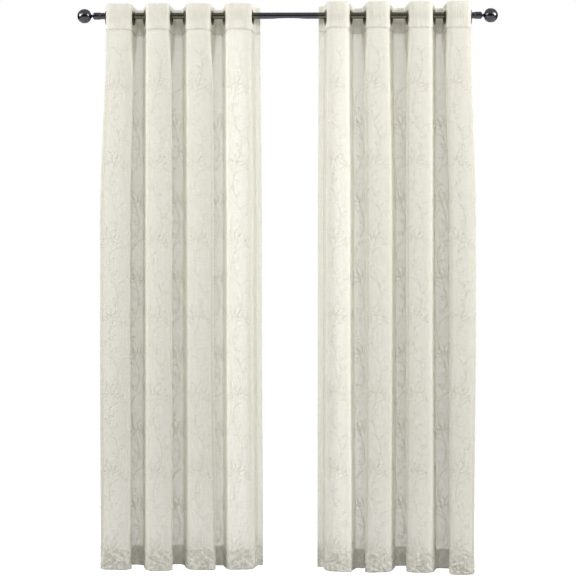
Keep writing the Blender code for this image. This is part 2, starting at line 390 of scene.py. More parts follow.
# Each wall of cloth crosses the rod at an eyelet: its place along the rod at the heading, at mid
# height and at the hem, and its lean from square to the rod in degrees.
WALLS = {
    "left": [
        (-0.686, -0.709, -0.707, 2.0),
        (-0.587, -0.598, -0.596, 4.5),
        (-0.541, -0.541, -0.541, 13.0),
        (-0.443, -0.441, -0.439, 5.5),
        (-0.389, -0.386, -0.384, 13.0),
        (-0.287, -0.283, -0.275, 7.0),
        (-0.238, -0.235, -0.233, 11.0),
        (-0.132, -0.126, -0.121, 8.0),
    ],
    "right": [
        (0.147, 0.144, 0.142, 7.0),
        (0.240, 0.244, 0.249, 10.0),
        (0.296, 0.301, 0.299, 7.0),
        (0.393, 0.403, 0.401, 12.0),
        (0.457, 0.456, 0.454, 5.5),
        (0.555, 0.555, 0.558, 12.0),
        (0.600, 0.619, 0.617, 4.5),
        (0.694, 0.714, 0.707, 3.0),
    ],
}
EDGE_ANGLES = {"left": (92, 4), "right": (4, 92)}
TOPS = {"left": 0.038, "right": 0.043}
HEMS = {"left": -2.098, "right": -2.106}
HEM_LIFTS = {
    "left": (0.000, -0.003, -0.003, -0.001, 0.001, -0.006, 0.003),
    "right": (0.005, -0.007, 0.002, 0.003, 0.001, -0.006, -0.006),
}
# Long soft creases: length along the cloth, drops where it starts and ends, how far
# it slants over that drop, half its width and its depth. A negative depth stands proud.
CREASES = {
    "left": [
        (0.042, 0.15, 1.30, 0.010, 0.012, 0.0022),
        (0.118, 0.12, 0.90, -0.014, 0.009, -0.0018),
        (0.150, 0.30, 1.70, 0.008, 0.010, 0.0016),
        (0.262, 0.10, 1.10, 0.006, 0.008, -0.0014),
        (0.405, 0.12, 0.70, 0.012, 0.008, 0.0016),
        (0.470, 0.60, 2.00, -0.010, 0.012, -0.0018),
        (0.505, 0.14, 0.60, -0.006, 0.007, 0.0012),
        (0.640, 0.20, 1.60, 0.010, 0.010, 0.0018),
        (0.770, 0.12, 1.20, 0.012, 0.010, -0.0016),
        (0.845, 0.80, 2.05, -0.012, 0.012, 0.0022),
        (0.992, 0.15, 1.30, 0.008, 0.009, 0.0015),
        (1.125, 0.12, 0.85, -0.012, 0.010, -0.0018),
        (1.190, 0.40, 2.05, 0.010, 0.012, 0.0020),
        (1.236, 0.12, 1.00, 0.004, 0.008, 0.0014),
    ],
    "right": [
        (0.026, 0.12, 1.20, -0.006, 0.009, 0.0016),
        (0.075, 0.35, 1.90, 0.012, 0.012, -0.0018),
        (0.128, 0.12, 0.95, 0.008, 0.009, 0.0018),
        (0.268, 0.14, 1.50, -0.008, 0.009, 0.0014),
        (0.420, 0.12, 0.80, 0.010, 0.009, -0.0016),
        (0.468, 0.70, 2.05, -0.012, 0.012, 0.0020),
        (0.622, 0.12, 1.40, 0.006, 0.009, 0.0014),
        (0.785, 0.12, 1.00, -0.010, 0.010, 0.0018),
        (0.838, 0.60, 2.05, 0.010, 0.011, -0.0018),
        (0.988, 0.15, 1.60, 0.006, 0.009, 0.0014),
        (1.130, 0.12, 1.00, -0.012, 0.011, 0.0022),
        (1.182, 0.30, 1.80, 0.014, 0.012, -0.0020),
        (1.222, 0.70, 2.05, -0.008, 0.011, 0.0018),
    ],
}
RIPPLES = [(0.071, 0.00055, 1.7), (0.047, 0.00035, 2.9), (0.113, 0.00075, 1.1)]
PUCKER = 0.0006
PUCKER_LENGTH = 0.019
PUCKER_REACH = 0.016
# The hem is crushed from packing: how deep, and how high above the hem that begins and is full.
CRUSH_DEPTH = 0.0014
CRUSH_START = 0.160
CRUSH_FULL = 0.012
CRUSH_WAVES = [(0.043, 0.061, 1.3), (0.029, 0.023, 2.4), (0.017, 0.037, 3.1)]


def smooth(share):
    """0 to 1 with a level start and end, held outside that range."""
    share = np.clip(share, 0.0, 1.0)
    return share * share * (3.0 - 2.0 * share)


def bump_of(distance, width):
    """A bell: 1 at no distance, falling to about a third at the given width."""
    return np.exp(-((distance / width) ** 2))


def walked(directions, step):
    """Plan points along curves, one a row, by adding up short steps in the given directions."""
    middle = (directions[:, 1:] + directions[:, :-1]) / 2
    start = np.zeros((len(directions), 1))
    x = np.concatenate([start, np.cumsum(np.cos(middle) * step, axis=1)], axis=1)
    y = np.concatenate([start, np.cumsum(np.sin(middle) * step, axis=1)], axis=1)
    return x, y


def bay_directions(lengths, turn, face, start, end):
    """Direction of the cloth from one eyelet to the next, in radians from the rod's direction.

    It is start up to the first turn, 0 across the face and end after the second turn, and each turn
    follows the smooth curve.
    """
    from_middle = PITCH / 2 - lengths[None, :]
    share = smooth((np.abs(from_middle) - face[:, None] / 2) / turn[:, None])
    return share * np.where(from_middle > 0, start, end)


def bay(width, turn, start, end):
    """Plan points between two eyelets, for each row, as far apart as the row's width asks.

    One share from -1 to 1 sets the shape: above 0 it lengthens the face between the turns, and
    below 0 it tightens the turns. The share is halved in on until the bay spans the width.
    """
    lengths = np.linspace(0.0, PITCH, round(PITCH / COLUMN) * FINE + 1)
    step = lengths[1]
    low, high = -np.ones_like(width), np.ones_like(width)
    for _ in range(HALVINGS):
        share = (low + high) / 2
        face = LEAST_FACE + np.maximum(share, 0.0) * (PITCH - 2 * turn - LEAST_FACE)
        tried = turn + np.minimum(share, 0.0) * (turn - LEAST_TURN)
        x, y = walked(bay_directions(lengths, tried, face, start, end), step)
        narrow = x[:, -1] < width
        low, high = np.where(narrow, share, low), np.where(narrow, high, share)
    y = y - y[:, -1:] * lengths / PITCH
    return x[:, ::FINE], y[:, ::FINE]


def margin(direction, edge_direction):
    """Plan points of a free margin, for each row, going outwards from its eyelet."""
    lengths = np.linspace(0.0, MARGIN, round(MARGIN / COLUMN) * FINE + 1)
    share = smooth((lengths - MARGIN_FLAT) / MARGIN_TURN)
    x, y = walked(direction + (edge_direction - direction) * share, lengths[1])
    return x[:, ::FINE], y[:, ::FINE]


def crushed(side, drop):
    """How crushed the cloth is: 0 over most of its drop, rising smoothly to 1 near the hem."""
    above_hem = TOPS[side] - HEMS[side] - drop
    return smooth((CRUSH_START - above_hem) / (CRUSH_START - CRUSH_FULL))


def relief(side, along, drop):
    """How far the cloth stands in front of its plain fold: ripples, the listed creases, puckers."""
    seed = 0.0 if side == "left" else 2.0
    loose = smooth((drop - HEADING_HEIGHT) / 0.30)
    height = np.zeros(np.broadcast_shapes(along.shape, drop.shape))
    for length, depth, drift in RIPPLES:
        sway = 0.6 * np.sin(drift * drop * 2.2 + seed + 40 * length)
        height = height + depth * loose * np.sin(2 * math.pi * along / length + sway + seed)
    for place, top, bottom, slant, width, depth in CREASES[side]:
        share = (drop - top) / (bottom - top)
        fade = smooth(share * 3.5) * smooth((1 - share) * 3.5)
        height = height - depth * fade * bump_of(along - place - slant * share, width)
    total = TOPS[side] - HEMS[side]
    for seam in (HEADING_HEIGHT, total - HEM_HEIGHT):
        below = np.where(drop >= seam, drop - seam, (seam - drop) * 2.5)
        waver = np.sin(2 * math.pi * along / PUCKER_LENGTH + 1.5 * np.sin(along * 31 + seed))
        height = height + PUCKER * waver * bump_of(below, PUCKER_REACH)
    crush = 0.0
    for length, fall, bend in CRUSH_WAVES:
        across_wave = 2 * math.pi * along / length + bend * np.sin(2 * math.pi * drop / 0.071 + seed)
        down_wave = 2 * math.pi * drop / fall + bend * np.sin(2 * math.pi * along / 0.109 + length)
        crush = crush + np.sin(across_wave) * np.sin(down_wave)
    return height + CRUSH_DEPTH * crushed(side, drop) * crush


def hung_cloth(side):
    """The cloth of one panel as arrays: lengths along it, drops, points and outward normals."""
    top, hem = TOPS[side], HEMS[side]
    total = top - hem
    walls = np.array(WALLS[side])
    rows = [
        np.linspace(0.0, HEADING_HEIGHT, HEADING_ROWS + 1),
        np.linspace(HEADING_HEIGHT, total - HEM_HEIGHT, CLOTH_ROWS + 1)[1:],
        np.linspace(total - HEM_HEIGHT, total, HEM_ROWS + 1)[1:],
    ]
    drop = np.concatenate(rows)
    share = np.clip((drop - HEADING_HEIGHT) / (total - HEM_HEIGHT - HEADING_HEIGHT), 0.0, 1.0)
    to_middle = smooth(share / TOP_ZONE)[:, None]
    to_hem = smooth((share - HEM_ZONE) / (1 - HEM_ZONE))[:, None]
    place = walls[:, 0] + (walls[:, 1] - walls[:, 0]) * to_middle
    place = place + (walls[:, 2] - walls[:, 1]) * to_hem
    turn = HEADING_TURN + (CLOTH_TURN - HEADING_TURN) * smooth(share / TURN_ZONE)
    turn = turn + (HEM_TURN - CLOTH_TURN) * smooth((share - 1 + TURN_ZONE) / TURN_ZONE)
    order = np.arange(EYELETS)
    towards_middle = order % 2 == 1 if side == "left" else order % 2 == 0
    innermost = order == (EYELETS - 1 if side == "left" else 0)
    low_lean = np.where(towards_middle & ~innermost, -OVERHANG, walls[:, 3])
    lean = walls[:, 3] + (low_lean - walls[:, 3]) * smooth(share / OVERHANG_ZONE)[:, None]
    square = np.radians(90.0 - lean)
    direction = np.where(order % 2 == 1, square, -square)

    left_angle, right_angle = np.radians(EDGE_ANGLES[side])
    x, y = margin(math.pi + direction[:, :1], math.pi - left_angle)
    xs, ys = [place[:, :1] + x[:, :0:-1]], [y[:, :0:-1]]
    for i in range(EYELETS - 1):
        width = place[:, i + 1] - place[:, i]
        x, y = bay(width, turn, direction[:, i : i + 1], direction[:, i + 1 : i + 2])
        xs.append(place[:, i : i + 1] + x[:, :-1])
        ys.append(y[:, :-1])
    x, y = margin(direction[:, -1:], right_angle)
    xs.append(place[:, -1:] + x)
    ys.append(y)
    x, y = np.concatenate(xs, axis=1), np.concatenate(ys, axis=1)

    along = -MARGIN + COLUMN * np.arange(x.shape[1])
    fold_middles = (np.arange(EYELETS - 1) + 0.5) * PITCH
    lift = np.interp(along, fold_middles, HEM_LIFTS[side])
    z = top - drop[:, None] + lift[None, :] * share[:, None]
    points = np.stack([x, y, z], axis=-1)
    points = points + outward(points) * relief(side, along[None, :], drop[:, None])[..., None]
    return {"along": along, "drop": drop, "points": points, "normals": outward(points)}


def outward(points):
    """Unit normals of a grid that face the viewer on a front fold: down crossed with along."""
    normals = np.cross(np.gradient(points, axis=0), np.gradient(points, axis=1))
    return normals / np.linalg.norm(normals, axis=-1, keepdims=True)


def on_cloth(cloth, along, drop, height=0.0):
    """Points of the cloth at lengths along it and drops, height in front of its middle surface.

    They lie between the four nearest grid points, by shares of the way in both directions.
    """
    column = np.clip((along - cloth["along"][0]) / COLUMN, 0, len(cloth["along"]) - 1.001)
    row = np.interp(drop, cloth["drop"], np.arange(len(cloth["drop"])))
    row = np.clip(row, 0, len(cloth["drop"]) - 1.001)
    i, j = row.astype(int), column.astype(int)
    down, over = (row - i)[..., None], (column - j)[..., None]

    def mixed(values):
        upper = values[i, j] * (1 - over) + values[i, j + 1] * over
        lower = values[i + 1, j] * (1 - over) + values[i + 1, j + 1] * over
        return upper * (1 - down) + lower * down

    return mixed(cloth["points"]) + mixed(cloth["normals"]) * np.asarray(height)[..., None]


cloths = {side: hung_cloth(side) for side in ("left", "right")}


# The hanging panels
# Each is one layer of fine ivory voile, plain woven and sheer, with a narrow turned hem down both
# sides and a deep hem at the bottom. Where it is turned over it is thicker and shows less through.
VOILE_COLOUR = (0.83, 0.817, 0.742)
SHEER_COLOUR = (0.90, 0.89, 0.84)
SINGLE = 0.0006
HEM_THICKNESS = 0.0013
SIDE_HEM = 0.026
YARN_PITCH = 0.0011
SLUB_LENGTH = 0.06
LAYER_COVER = 0.61
CRUMPLE_DEPTH = 0.0016
CRUSH_GAIN = 1.6
# Where the cloth is crushed its colour gets painted shade, and painted highlights along the crease
# lines.
CRUSH_PAINTED_SHADE = 0.16
CREASE_PAINTED_HIGHLIGHT = 0.24
CREASE_HEIGHT = 0.9
SIDE_HEM_LAYER = 0.35
DOUBLE_GAIN = 0.06
RIM_SHARPNESS = 2.5
# Painted highlight at grazing angles: how much brighter the cloth's colour is made there.
PAINTED_RIM_GAIN = 0.22


def voile_group():
    """Plain weave in the cloth's own lengths: yarns both ways, thick and thin places, open holes.

    Vector is the length along the cloth and the drop, in metres. Cover is the share of the
    surface that yarn covers, and Shade and Height vary with each yarn. Crumple is the cloth's
    soft unevenness, and Crease is 1 along curling lines, where crushed cloth is creased.
    """
    group = bpy.data.node_groups.new("Voile weave", "ShaderNodeTree")
    socket(group, "Vector", "NodeSocketVector", "INPUT")
    socket(group, "Pitch", "NodeSocketFloat", "INPUT", YARN_PITCH)
    socket(group, "Layers", "NodeSocketFloat", "INPUT", 1.0)
    socket(group, "Cover", "NodeSocketFloat", "OUTPUT")
    socket(group, "Shade", "NodeSocketFloat", "OUTPUT")
    socket(group, "Height", "NodeSocketFloat", "OUTPUT")
    socket(group, "Crumple", "NodeSocketFloat", "OUTPUT")
    socket(group, "Crease", "NodeSocketFloat", "OUTPUT")
    given = node(group, "NodeGroupInput").outputs
    parts = node(group, "ShaderNodeSeparateXYZ", {0: given["Vector"]}).outputs
    turn = maths(group, "DIVIDE", 2 * math.pi, given["Pitch"])
    warp = maths(group, "SINE", maths(group, "MULTIPLY", parts[0], turn))
    weft = maths(group, "SINE", maths(group, "MULTIPLY", parts[1], turn))
    crossing = maths(group, "MULTIPLY", warp, weft)
    yarns = maths(group, "MULTIPLY_ADD", maths(group, "MAXIMUM", warp, weft), 0.5, 0.5)

    def slubs(scale):
        stretched = node(group, "ShaderNodeMapping", {"Vector": given["Vector"], "Scale": scale})
        found = node(
            group,
            "ShaderNodeTexNoise",
            {"Vector": stretched.outputs[0], "Scale": 1.0, "Detail": 2.0},
        )
        return maths(group, "SUBTRACT", found.outputs[0], 0.5)

    down = slubs((1 / 0.0016, 1 / SLUB_LENGTH, 1.0))
    across = slubs((1 / SLUB_LENGTH, 1 / 0.0022, 1.0))
    uneven = maths(group, "ADD", down, across)
    one = maths(group, "MULTIPLY_ADD", yarns, 0.16, LAYER_COVER - 0.10)
    one = maths(group, "MULTIPLY_ADD", uneven, 0.13, one)
    open_share = maths(group, "SUBTRACT", 1.0, one, clamp=True)
    left_open = maths(group, "POWER", open_share, given["Layers"])
    cover = maths(group, "SUBTRACT", 1.0, left_open, clamp=True)
    shade = maths(group, "MULTIPLY_ADD", uneven, 0.12, 1.0)
    height = maths(group, "MULTIPLY_ADD", crossing, 0.35, yarns)
    height = maths(group, "ADD", height, uneven)
    streak = slubs((1 / 0.007, 1 / 0.16, 1.0))
    dimple = slubs((1 / 0.013, 1 / 0.019, 1.0))
    crumple = maths(group, "MULTIPLY_ADD", streak, 1.3, dimple)
    curl = maths(group, "ABSOLUTE", slubs((1 / 0.034, 1 / 0.042, 1.0)))
    crease = maths(group, "MULTIPLY_ADD", curl, -13.0, 1.0, clamp=True)
    found = {"Cover": cover, "Shade": shade, "Height": height}
    found.update({"Crumple": crumple, "Crease": crease})
    node(group, "NodeGroupOutput", found)
    return group


def voile(name, colour, sheer_colour, sheen, translucency):
    """Sheer cloth: a matt weave with a soft sheen, light passing through it, and open holes, with
    painted light in its colour: a highlight at grazing angles, and shade and crease highlights where
    it is crushed.
    """
    material, tree, output = material_named(name)
    place = node(tree, "ShaderNodeUVMap", uv_map="Cloth").outputs[0]
    layers = node(tree, "ShaderNodeAttribute", attribute_name="layers").outputs["Fac"]
    # Painted highlight: the cloth's colour is made brighter where it is seen at a grazing angle, as
    # at the turned edges of the folds.
    grazing = node(tree, "ShaderNodeLayerWeight", {"Blend": 0.5}).outputs["Facing"]
    painted_rim = maths(tree, "MULTIPLY", maths(tree, "POWER", grazing, RIM_SHARPNESS), PAINTED_RIM_GAIN)
    weave = node(tree, "ShaderNodeGroup", node_tree=voile_weave)
    tree.links.new(place, weave.inputs["Vector"])
    tree.links.new(layers, weave.inputs["Layers"])
    crush = node(tree, "ShaderNodeAttribute", attribute_name="crush").outputs["Fac"]
    # Doubled cloth is a little brighter; then painted shade where it is crushed, towards the hem and
    # a little in the heading, and painted highlights along the crease lines.
    layers_and_painted_shade = maths(tree, "MULTIPLY_ADD", layers, DOUBLE_GAIN, 1.0 - DOUBLE_GAIN)
    layers_and_painted_shade = maths(tree, "MULTIPLY_ADD", crush, -CRUSH_PAINTED_SHADE, layers_and_painted_shade)
    creased = maths(tree, "MULTIPLY", crush, weave.outputs["Crease"])
    layers_and_painted_shade = maths(tree, "MULTIPLY_ADD", creased, CREASE_PAINTED_HIGHLIGHT, layers_and_painted_shade)
    tone_with_painted_light = maths(tree, "ADD", layers_and_painted_shade, painted_rim)
    tint = node(
        tree,
        "ShaderNodeVectorMath",
        {0: colour, "Scale": maths(tree, "MULTIPLY", tone_with_painted_light, weave.outputs["Shade"])},
        operation="SCALE",
    ).outputs[0]
    deeper = maths(tree, "MULTIPLY_ADD", crush, CRUSH_GAIN, 1.0)
    crumple = maths(tree, "MULTIPLY", weave.outputs["Crumple"], deeper)
    crumple = maths(tree, "MULTIPLY_ADD", creased, CREASE_HEIGHT, crumple)
    crumpled = node(
        tree,
        "ShaderNodeBump",
        {"Height": crumple, "Strength": 1.0, "Distance": CRUMPLE_DEPTH},
    ).outputs[0]
    ridges = node(
        tree,
        "ShaderNodeBump",
        {
            "Height": weave.outputs["Height"],
            "Strength": 0.25,
            "Distance": 0.00012,
            "Normal": crumpled,
        },
    ).outputs[0]
    face = node(
        tree,
        "ShaderNodeBsdfPrincipled",
        {
            "Base Color": tint,
            "Roughness": 0.85,
            "Specular IOR Level": 0.3,
            "Sheen Weight": sheen,
            "Sheen Roughness": 0.2,
            "Sheen Tint": (1.0, 0.99, 0.95, 1.0),
            "Normal": ridges,
        },
    ).outputs[0]
    glow = node(tree, "ShaderNodeBsdfTranslucent", {"Color": (*sheer_colour, 1.0)}).outputs[0]
    passed = maths(tree, "DIVIDE", translucency, layers)
    lit = node(tree, "ShaderNodeMixShader", {0: passed, 1: face, 2: glow}).outputs[0]
    clear = node(tree, "ShaderNodeBsdfTransparent").outputs[0]
    open_share = maths(tree, "SUBTRACT", 1.0, weave.outputs["Cover"])
    edge_on = maths(tree, "POWER", grazing, RIM_SHARPNESS)
    cover = maths(tree, "MULTIPLY_ADD", open_share, edge_on, weave.outputs["Cover"])
    mixed = node(tree, "ShaderNodeMixShader", {0: cover, 1: clear, 2: lit})
    tree.links.new(mixed.outputs[0], output.inputs[0])
    return material


def layer_count(side, along, drop):
    """Layers of cloth here: 1, or 2 in the heading and the hem. A narrow side hem adds a part."""
    total = TOPS[side] - HEMS[side]
    turned_over = (drop < HEADING_HEIGHT) | (drop > total - HEM_HEIGHT + 0.0005)
    layers = np.where(turned_over, 2.0, 1.0)
    edge = np.minimum(along + MARGIN, (EYELETS - 1) * PITCH + MARGIN - along)
    return np.where(edge < SIDE_HEM - COLUMN / 2, layers + SIDE_HEM_LAYER, layers)


def sheet_object(name, cloth, along, drop, faces, layers, crush, thickness, material):
    """Cloth through points given by length and drop, with its own UV map in metres.

    layers, crush and thickness are values for each point, and the material reads the first two.
    Solidify lays the two faces out from the middle.
    """
    points = on_cloth(cloth, along, drop)
    used = np.unique(faces)
    renumbered = np.zeros(len(points), dtype=int)
    renumbered[used] = np.arange(len(used))
    faces = renumbered[faces]
    along, drop, thickness = along[used], drop[used], thickness[used]
    made = mesh_object(name, points[used], faces, material)
    corners = faces.reshape(-1)
    place = made.data.uv_layers.new(name="Cloth")
    place.data.foreach_set("uv", np.stack([along, drop], axis=-1)[corners].reshape(-1))
    for attribute, values in (("layers", layers), ("crush", crush)):
        kept = made.data.attributes.new(attribute, "FLOAT", "POINT")
        kept.data.foreach_set("value", values[used])
    group = made.vertex_groups.new(name="Thickness")
    greatest = thickness.max()
    for share in np.unique(np.round(thickness / greatest, 3)):
        members = np.flatnonzero(np.round(thickness / greatest, 3) == share)
        group.add(members.tolist(), float(share), "REPLACE")
    thicken = made.modifiers.new("Thickness", "SOLIDIFY")
    thicken.thickness = greatest
    thicken.offset = 0.0
    thicken.vertex_group = group.name
    return made


voile_weave = voile_group()
panel_voile = voile("voile", VOILE_COLOUR, SHEER_COLOUR, sheen=0.9, translucency=0.43)

for side, cloth in cloths.items():
    total = TOPS[side] - HEMS[side]
    drop_rows = cloth["drop"][HEADING_ROWS:]
    along, drop = (v.reshape(-1) for v in np.meshgrid(cloth["along"], drop_rows))
    layers = layer_count(side, along, drop)
    thickness = SINGLE + (HEM_THICKNESS - SINGLE) * (layers - 1.0)
    thickness = np.where(total - drop < 0.0005, SINGLE, thickness)
    faces = grid_faces(len(drop_rows), len(cloth["along"]))
    crush = crushed(side, drop)
    panel = sheet_object(
        f"voile_panel_{side}", cloth, along, drop, faces, layers, crush, thickness, panel_voile
    )
    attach(panel, "root")
    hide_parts(f"panel_{side}")


# The headings
# The top of each panel is turned over double and stitched, which makes a firm band. A round hole is
# punched for each eyelet, and its raw edge is hidden between the ring's flanges.
HEADING_THICKNESS = 0.0019
FOLD_ROUNDING = 0.0012
HOLE_RADIUS = 0.0236
# How crushed the heading is; this also gives it a little of the painted shade and crease highlights.
HEADING_CRUSH = 0.24

heading_voile = voile("heading_voile", VOILE_COLOUR, SHEER_COLOUR, sheen=0.9, translucency=0.43)


def ring_centre(side, number):
    """The middle of an eyelet of the frame, as a point of the row's frame."""
    low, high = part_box(f"eyelet_{side}_{number}")
    return (np.array(low) + np.array(high)) / 2


def punched(along, drop, faces, centres, radius):
    """The grid with a round hole at each centre (length, drop).

    Faces with their middle inside the radius go, and the points that they leave on the edge move
    out or in along the line from the centre until they lie on the circle.
    """
    along, drop = along.copy(), drop.copy()
    for centre_along, centre_drop in centres:
        distance = np.hypot(along - centre_along, drop - centre_drop)
        inside = distance[faces].mean(axis=1) < radius
        edge = np.intersect1d(faces[inside], faces[~inside])
        stretch = radius / distance[edge]
        along[edge] = centre_along + (along[edge] - centre_along) * stretch
        drop[edge] = centre_drop + (drop[edge] - centre_drop) * stretch
        faces = faces[~inside]
    return along, drop, faces


for side, cloth in cloths.items():
    drops = np.concatenate([[0.0, FOLD_ROUNDING], cloth["drop"][1 : HEADING_ROWS + 1]])
    along, drop = (v.reshape(-1) for v in np.meshgrid(cloth["along"], drops))
    faces = grid_faces(len(drops), len(cloth["along"]))
    centres = [
        (i * PITCH, TOPS[side] - ring_centre(side, i + 1)[2]) for i in range(EYELETS)
    ]
    along, drop, faces = punched(along, drop, faces, centres, HOLE_RADIUS)
    layers = layer_count(side, along, drop - 0.0001)
    at_edge = (drop < FOLD_ROUNDING / 2) | (drop > HEADING_HEIGHT - FOLD_ROUNDING / 2)
    thickness = np.where(at_edge, 0.35, 1.0) * HEADING_THICKNESS
    crush = np.full(len(drop), HEADING_CRUSH)
    heading = sheet_object(
        f"heading_band_{side}", cloth, along, drop, faces, layers, crush, thickness, heading_voile
    )
    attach(heading, "root")
    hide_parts(f"heading_{side}")


# The eyelet rings
# Two pressed metal halves snap together through the hole and grip the heading between domed
# flanges. The rims are rolled, and the bore is smooth where it slides on the rod.
RING_BORE = 0.0200
RING_BARREL = 0.0223
RING_OUTER = 0.0295
RING_GRIP = 0.00145
RING_LIP = 0.0027
RING_CROWN = 0.0054
RING_RIM = 0.0020
RING_SIDES = 56
RING_COLOUR = (0.190, 0.174, 0.122)

ring_metal = plated("eyelet_metal", RING_COLOUR, 0.30, 0.12, 0.00002, 0.15)


def ring_outline():
    """The ring's section, as (x, radius): bore, domed flange, grip and barrel, then mirrored."""
    half = np.array(
        [
            (RING_LIP * 0.55, RING_BORE),
            (RING_LIP, RING_BORE + 0.0005),
            (RING_CROWN * 0.92, RING_BORE + 0.0014),
            (RING_CROWN, RING_BORE + 0.0027),
            (RING_CROWN * 0.97, RING_BORE + 0.0042),
            (RING_CROWN * 0.86, RING_BORE + 0.0060),
            (RING_RIM * 1.16, RING_OUTER - 0.0014),
            (RING_RIM, RING_OUTER - 0.0004),
            (RING_RIM * 0.88, RING_OUTER),
            (RING_GRIP, RING_OUTER - 0.0003),
            (RING_GRIP, RING_BARREL + 0.0006),
            (RING_GRIP * 0.5, RING_BARREL),
        ]
    )
    return np.concatenate([half, half[::-1] * (-1.0, 1.0)])


for side in cloths:
    for number in range(1, EYELETS + 1):
        lean = math.radians(WALLS[side][number - 1][3])
        turn = -lean if number % 2 == 0 else lean
        points, faces = turned(ring_outline(), RING_SIDES)
        x, y, z = points.T
        turned_points = np.stack(
            [x * math.cos(turn) - y * math.sin(turn), x * math.sin(turn) + y * math.cos(turn), z], -1
        )
        points = turned_points + ring_centre(side, number)
        ring = mesh_object(f"ring_{side}_{number}", points, faces, ring_metal, smooth_angle=50)
        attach(ring, "root")
        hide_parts(f"eyelet_{side}_{number}")


# The embroidery
# Vines in ivory satin stitch climb the cloth before it is cut, in columns that are half a repeat
# apart. A wavy stem carries single leaves, and forks end in fans of open leaves.
REPEAT_DOWN = 0.292
REPEAT_ACROSS = 0.180
FIRST_FORK = 0.479
THREAD_WIDTH = 0.0020
LEAF_THREAD_WIDTH = 0.0019
THREAD_HEIGHT = 0.0011
THREAD_COLOUR = (0.98, 0.972, 0.915)
THREAD_GLOW = 0.42
THREAD_OPEN = 0.20
RING_CLEARANCE = 0.034
EDGE_CLEARANCE = 0.030
STEM_SWAY = 0.017
# Each fork: its place down the repeat, and for both arms the bend, the end and the leaf count.
FORKS = [
    (0.030, [(-0.010, -0.030, -0.050, -0.046, 2), (0.014, -0.034, 0.056, -0.036, 3)]),
    (0.196, [(0.008, -0.020, 0.040, -0.030, 2)]),
]
FOOT_GAP = 0.16
# Each fan: its place down the repeat, how far beside the stem, its leaf length and its lean.
FANS = [(0.146, -0.012, 0.050, -0.25)]


def thread_material():
    """Satin stitch: fine parallel threads laid across each stroke, with a soft gloss and a faint
    painted shade between them.
    """
    material, tree, output = material_named("embroidery_thread")
    place = node(tree, "ShaderNodeUVMap", uv_map="Stroke").outputs[0]
    parts = node(tree, "ShaderNodeSeparateXYZ", {0: place}).outputs
    turns = maths(tree, "MULTIPLY", parts[0], 2 * math.pi / 0.0007)
    ridge = maths(tree, "SINE", turns)
    cloud = node(tree, "ShaderNodeTexNoise", {"Vector": place, "Scale": 180.0}).outputs[0]
    # Painted shade: the thread's colour is a little darker in the grooves between stitches and
    # lighter on their tops; the cloudy part varies its tone at random.
    shade = maths(tree, "MULTIPLY_ADD", ridge, 0.03, 0.92)
    shade = maths(tree, "MULTIPLY_ADD", cloud, 0.16, shade)
    tint = node(
        tree, "ShaderNodeVectorMath", {0: THREAD_COLOUR, "Scale": shade}, operation="SCALE"
    ).outputs[0]
    ridges = node(
        tree, "ShaderNodeBump", {"Height": ridge, "Strength": 0.4, "Distance": 0.0001}
    ).outputs[0]
    face = node(
        tree,
        "ShaderNodeBsdfPrincipled",
        {
            "Base Color": tint,
            "Roughness": 0.55,
            "Sheen Weight": 0.6,
            "Sheen Roughness": 0.3,
            "Normal": ridges,
        },
    ).outputs[0]
    glow = node(tree, "ShaderNodeBsdfTranslucent", {"Color": (*THREAD_COLOUR, 1.0)}).outputs[0]
    lit = node(tree, "ShaderNodeMixShader", {0: THREAD_GLOW, 1: face, 2: glow}).outputs[0]
    clear = node(tree, "ShaderNodeBsdfTransparent").outputs[0]
    mixed = node(tree, "ShaderNodeMixShader", {0: THREAD_OPEN, 1: lit, 2: clear})
    tree.links.new(mixed.outputs[0], output.inputs[0])
    return material


def stem_place(down):
    """How far the main stem stands to the side at a place down the repeat: a sine wave."""
    return STEM_SWAY * np.sin(2 * math.pi * down / REPEAT_DOWN)


def arm(start, middle, end, count=12):
    """A quadratic curve from start by way of middle to end."""
    t = np.linspace(0.0, 1.0, count)[:, None]
    start, middle, end = (np.array(p) for p in (start, middle, end))
    return (1 - t) ** 2 * start + 2 * t * (1 - t) * middle + t**2 * end


def open_leaf(foot, angle, length, width, count=13):
    """The outline of a leaf as a loop: out along one side to the tip and back along the other."""
    t = np.linspace(0.0, 2.0, count)
    out = 1 - np.abs(1 - t)
    side = np.where(t <= 1, 1.0, -1.0) * np.sin(math.pi * out**0.8) * width / 2
    lengthwise = np.array([math.sin(angle), -math.cos(angle)])
    sideways = np.array([math.cos(angle), math.sin(angle)])
    return np.array(foot) + np.outer(out * length, lengthwise) + np.outer(side, sideways)


def fan(foot, middle_angle, spread, lengths, width):
    """Leaves that spread from round one foot, evenly on both sides of the middle angle."""
    leaves = []
    for angle, length in zip(middle_angle + np.linspace(-spread, spread, len(lengths)), lengths):
        out = np.array([math.sin(angle), -math.cos(angle)]) * length * FOOT_GAP
        leaves.append(open_leaf(np.array(foot) + out, angle, length, width))
    return leaves


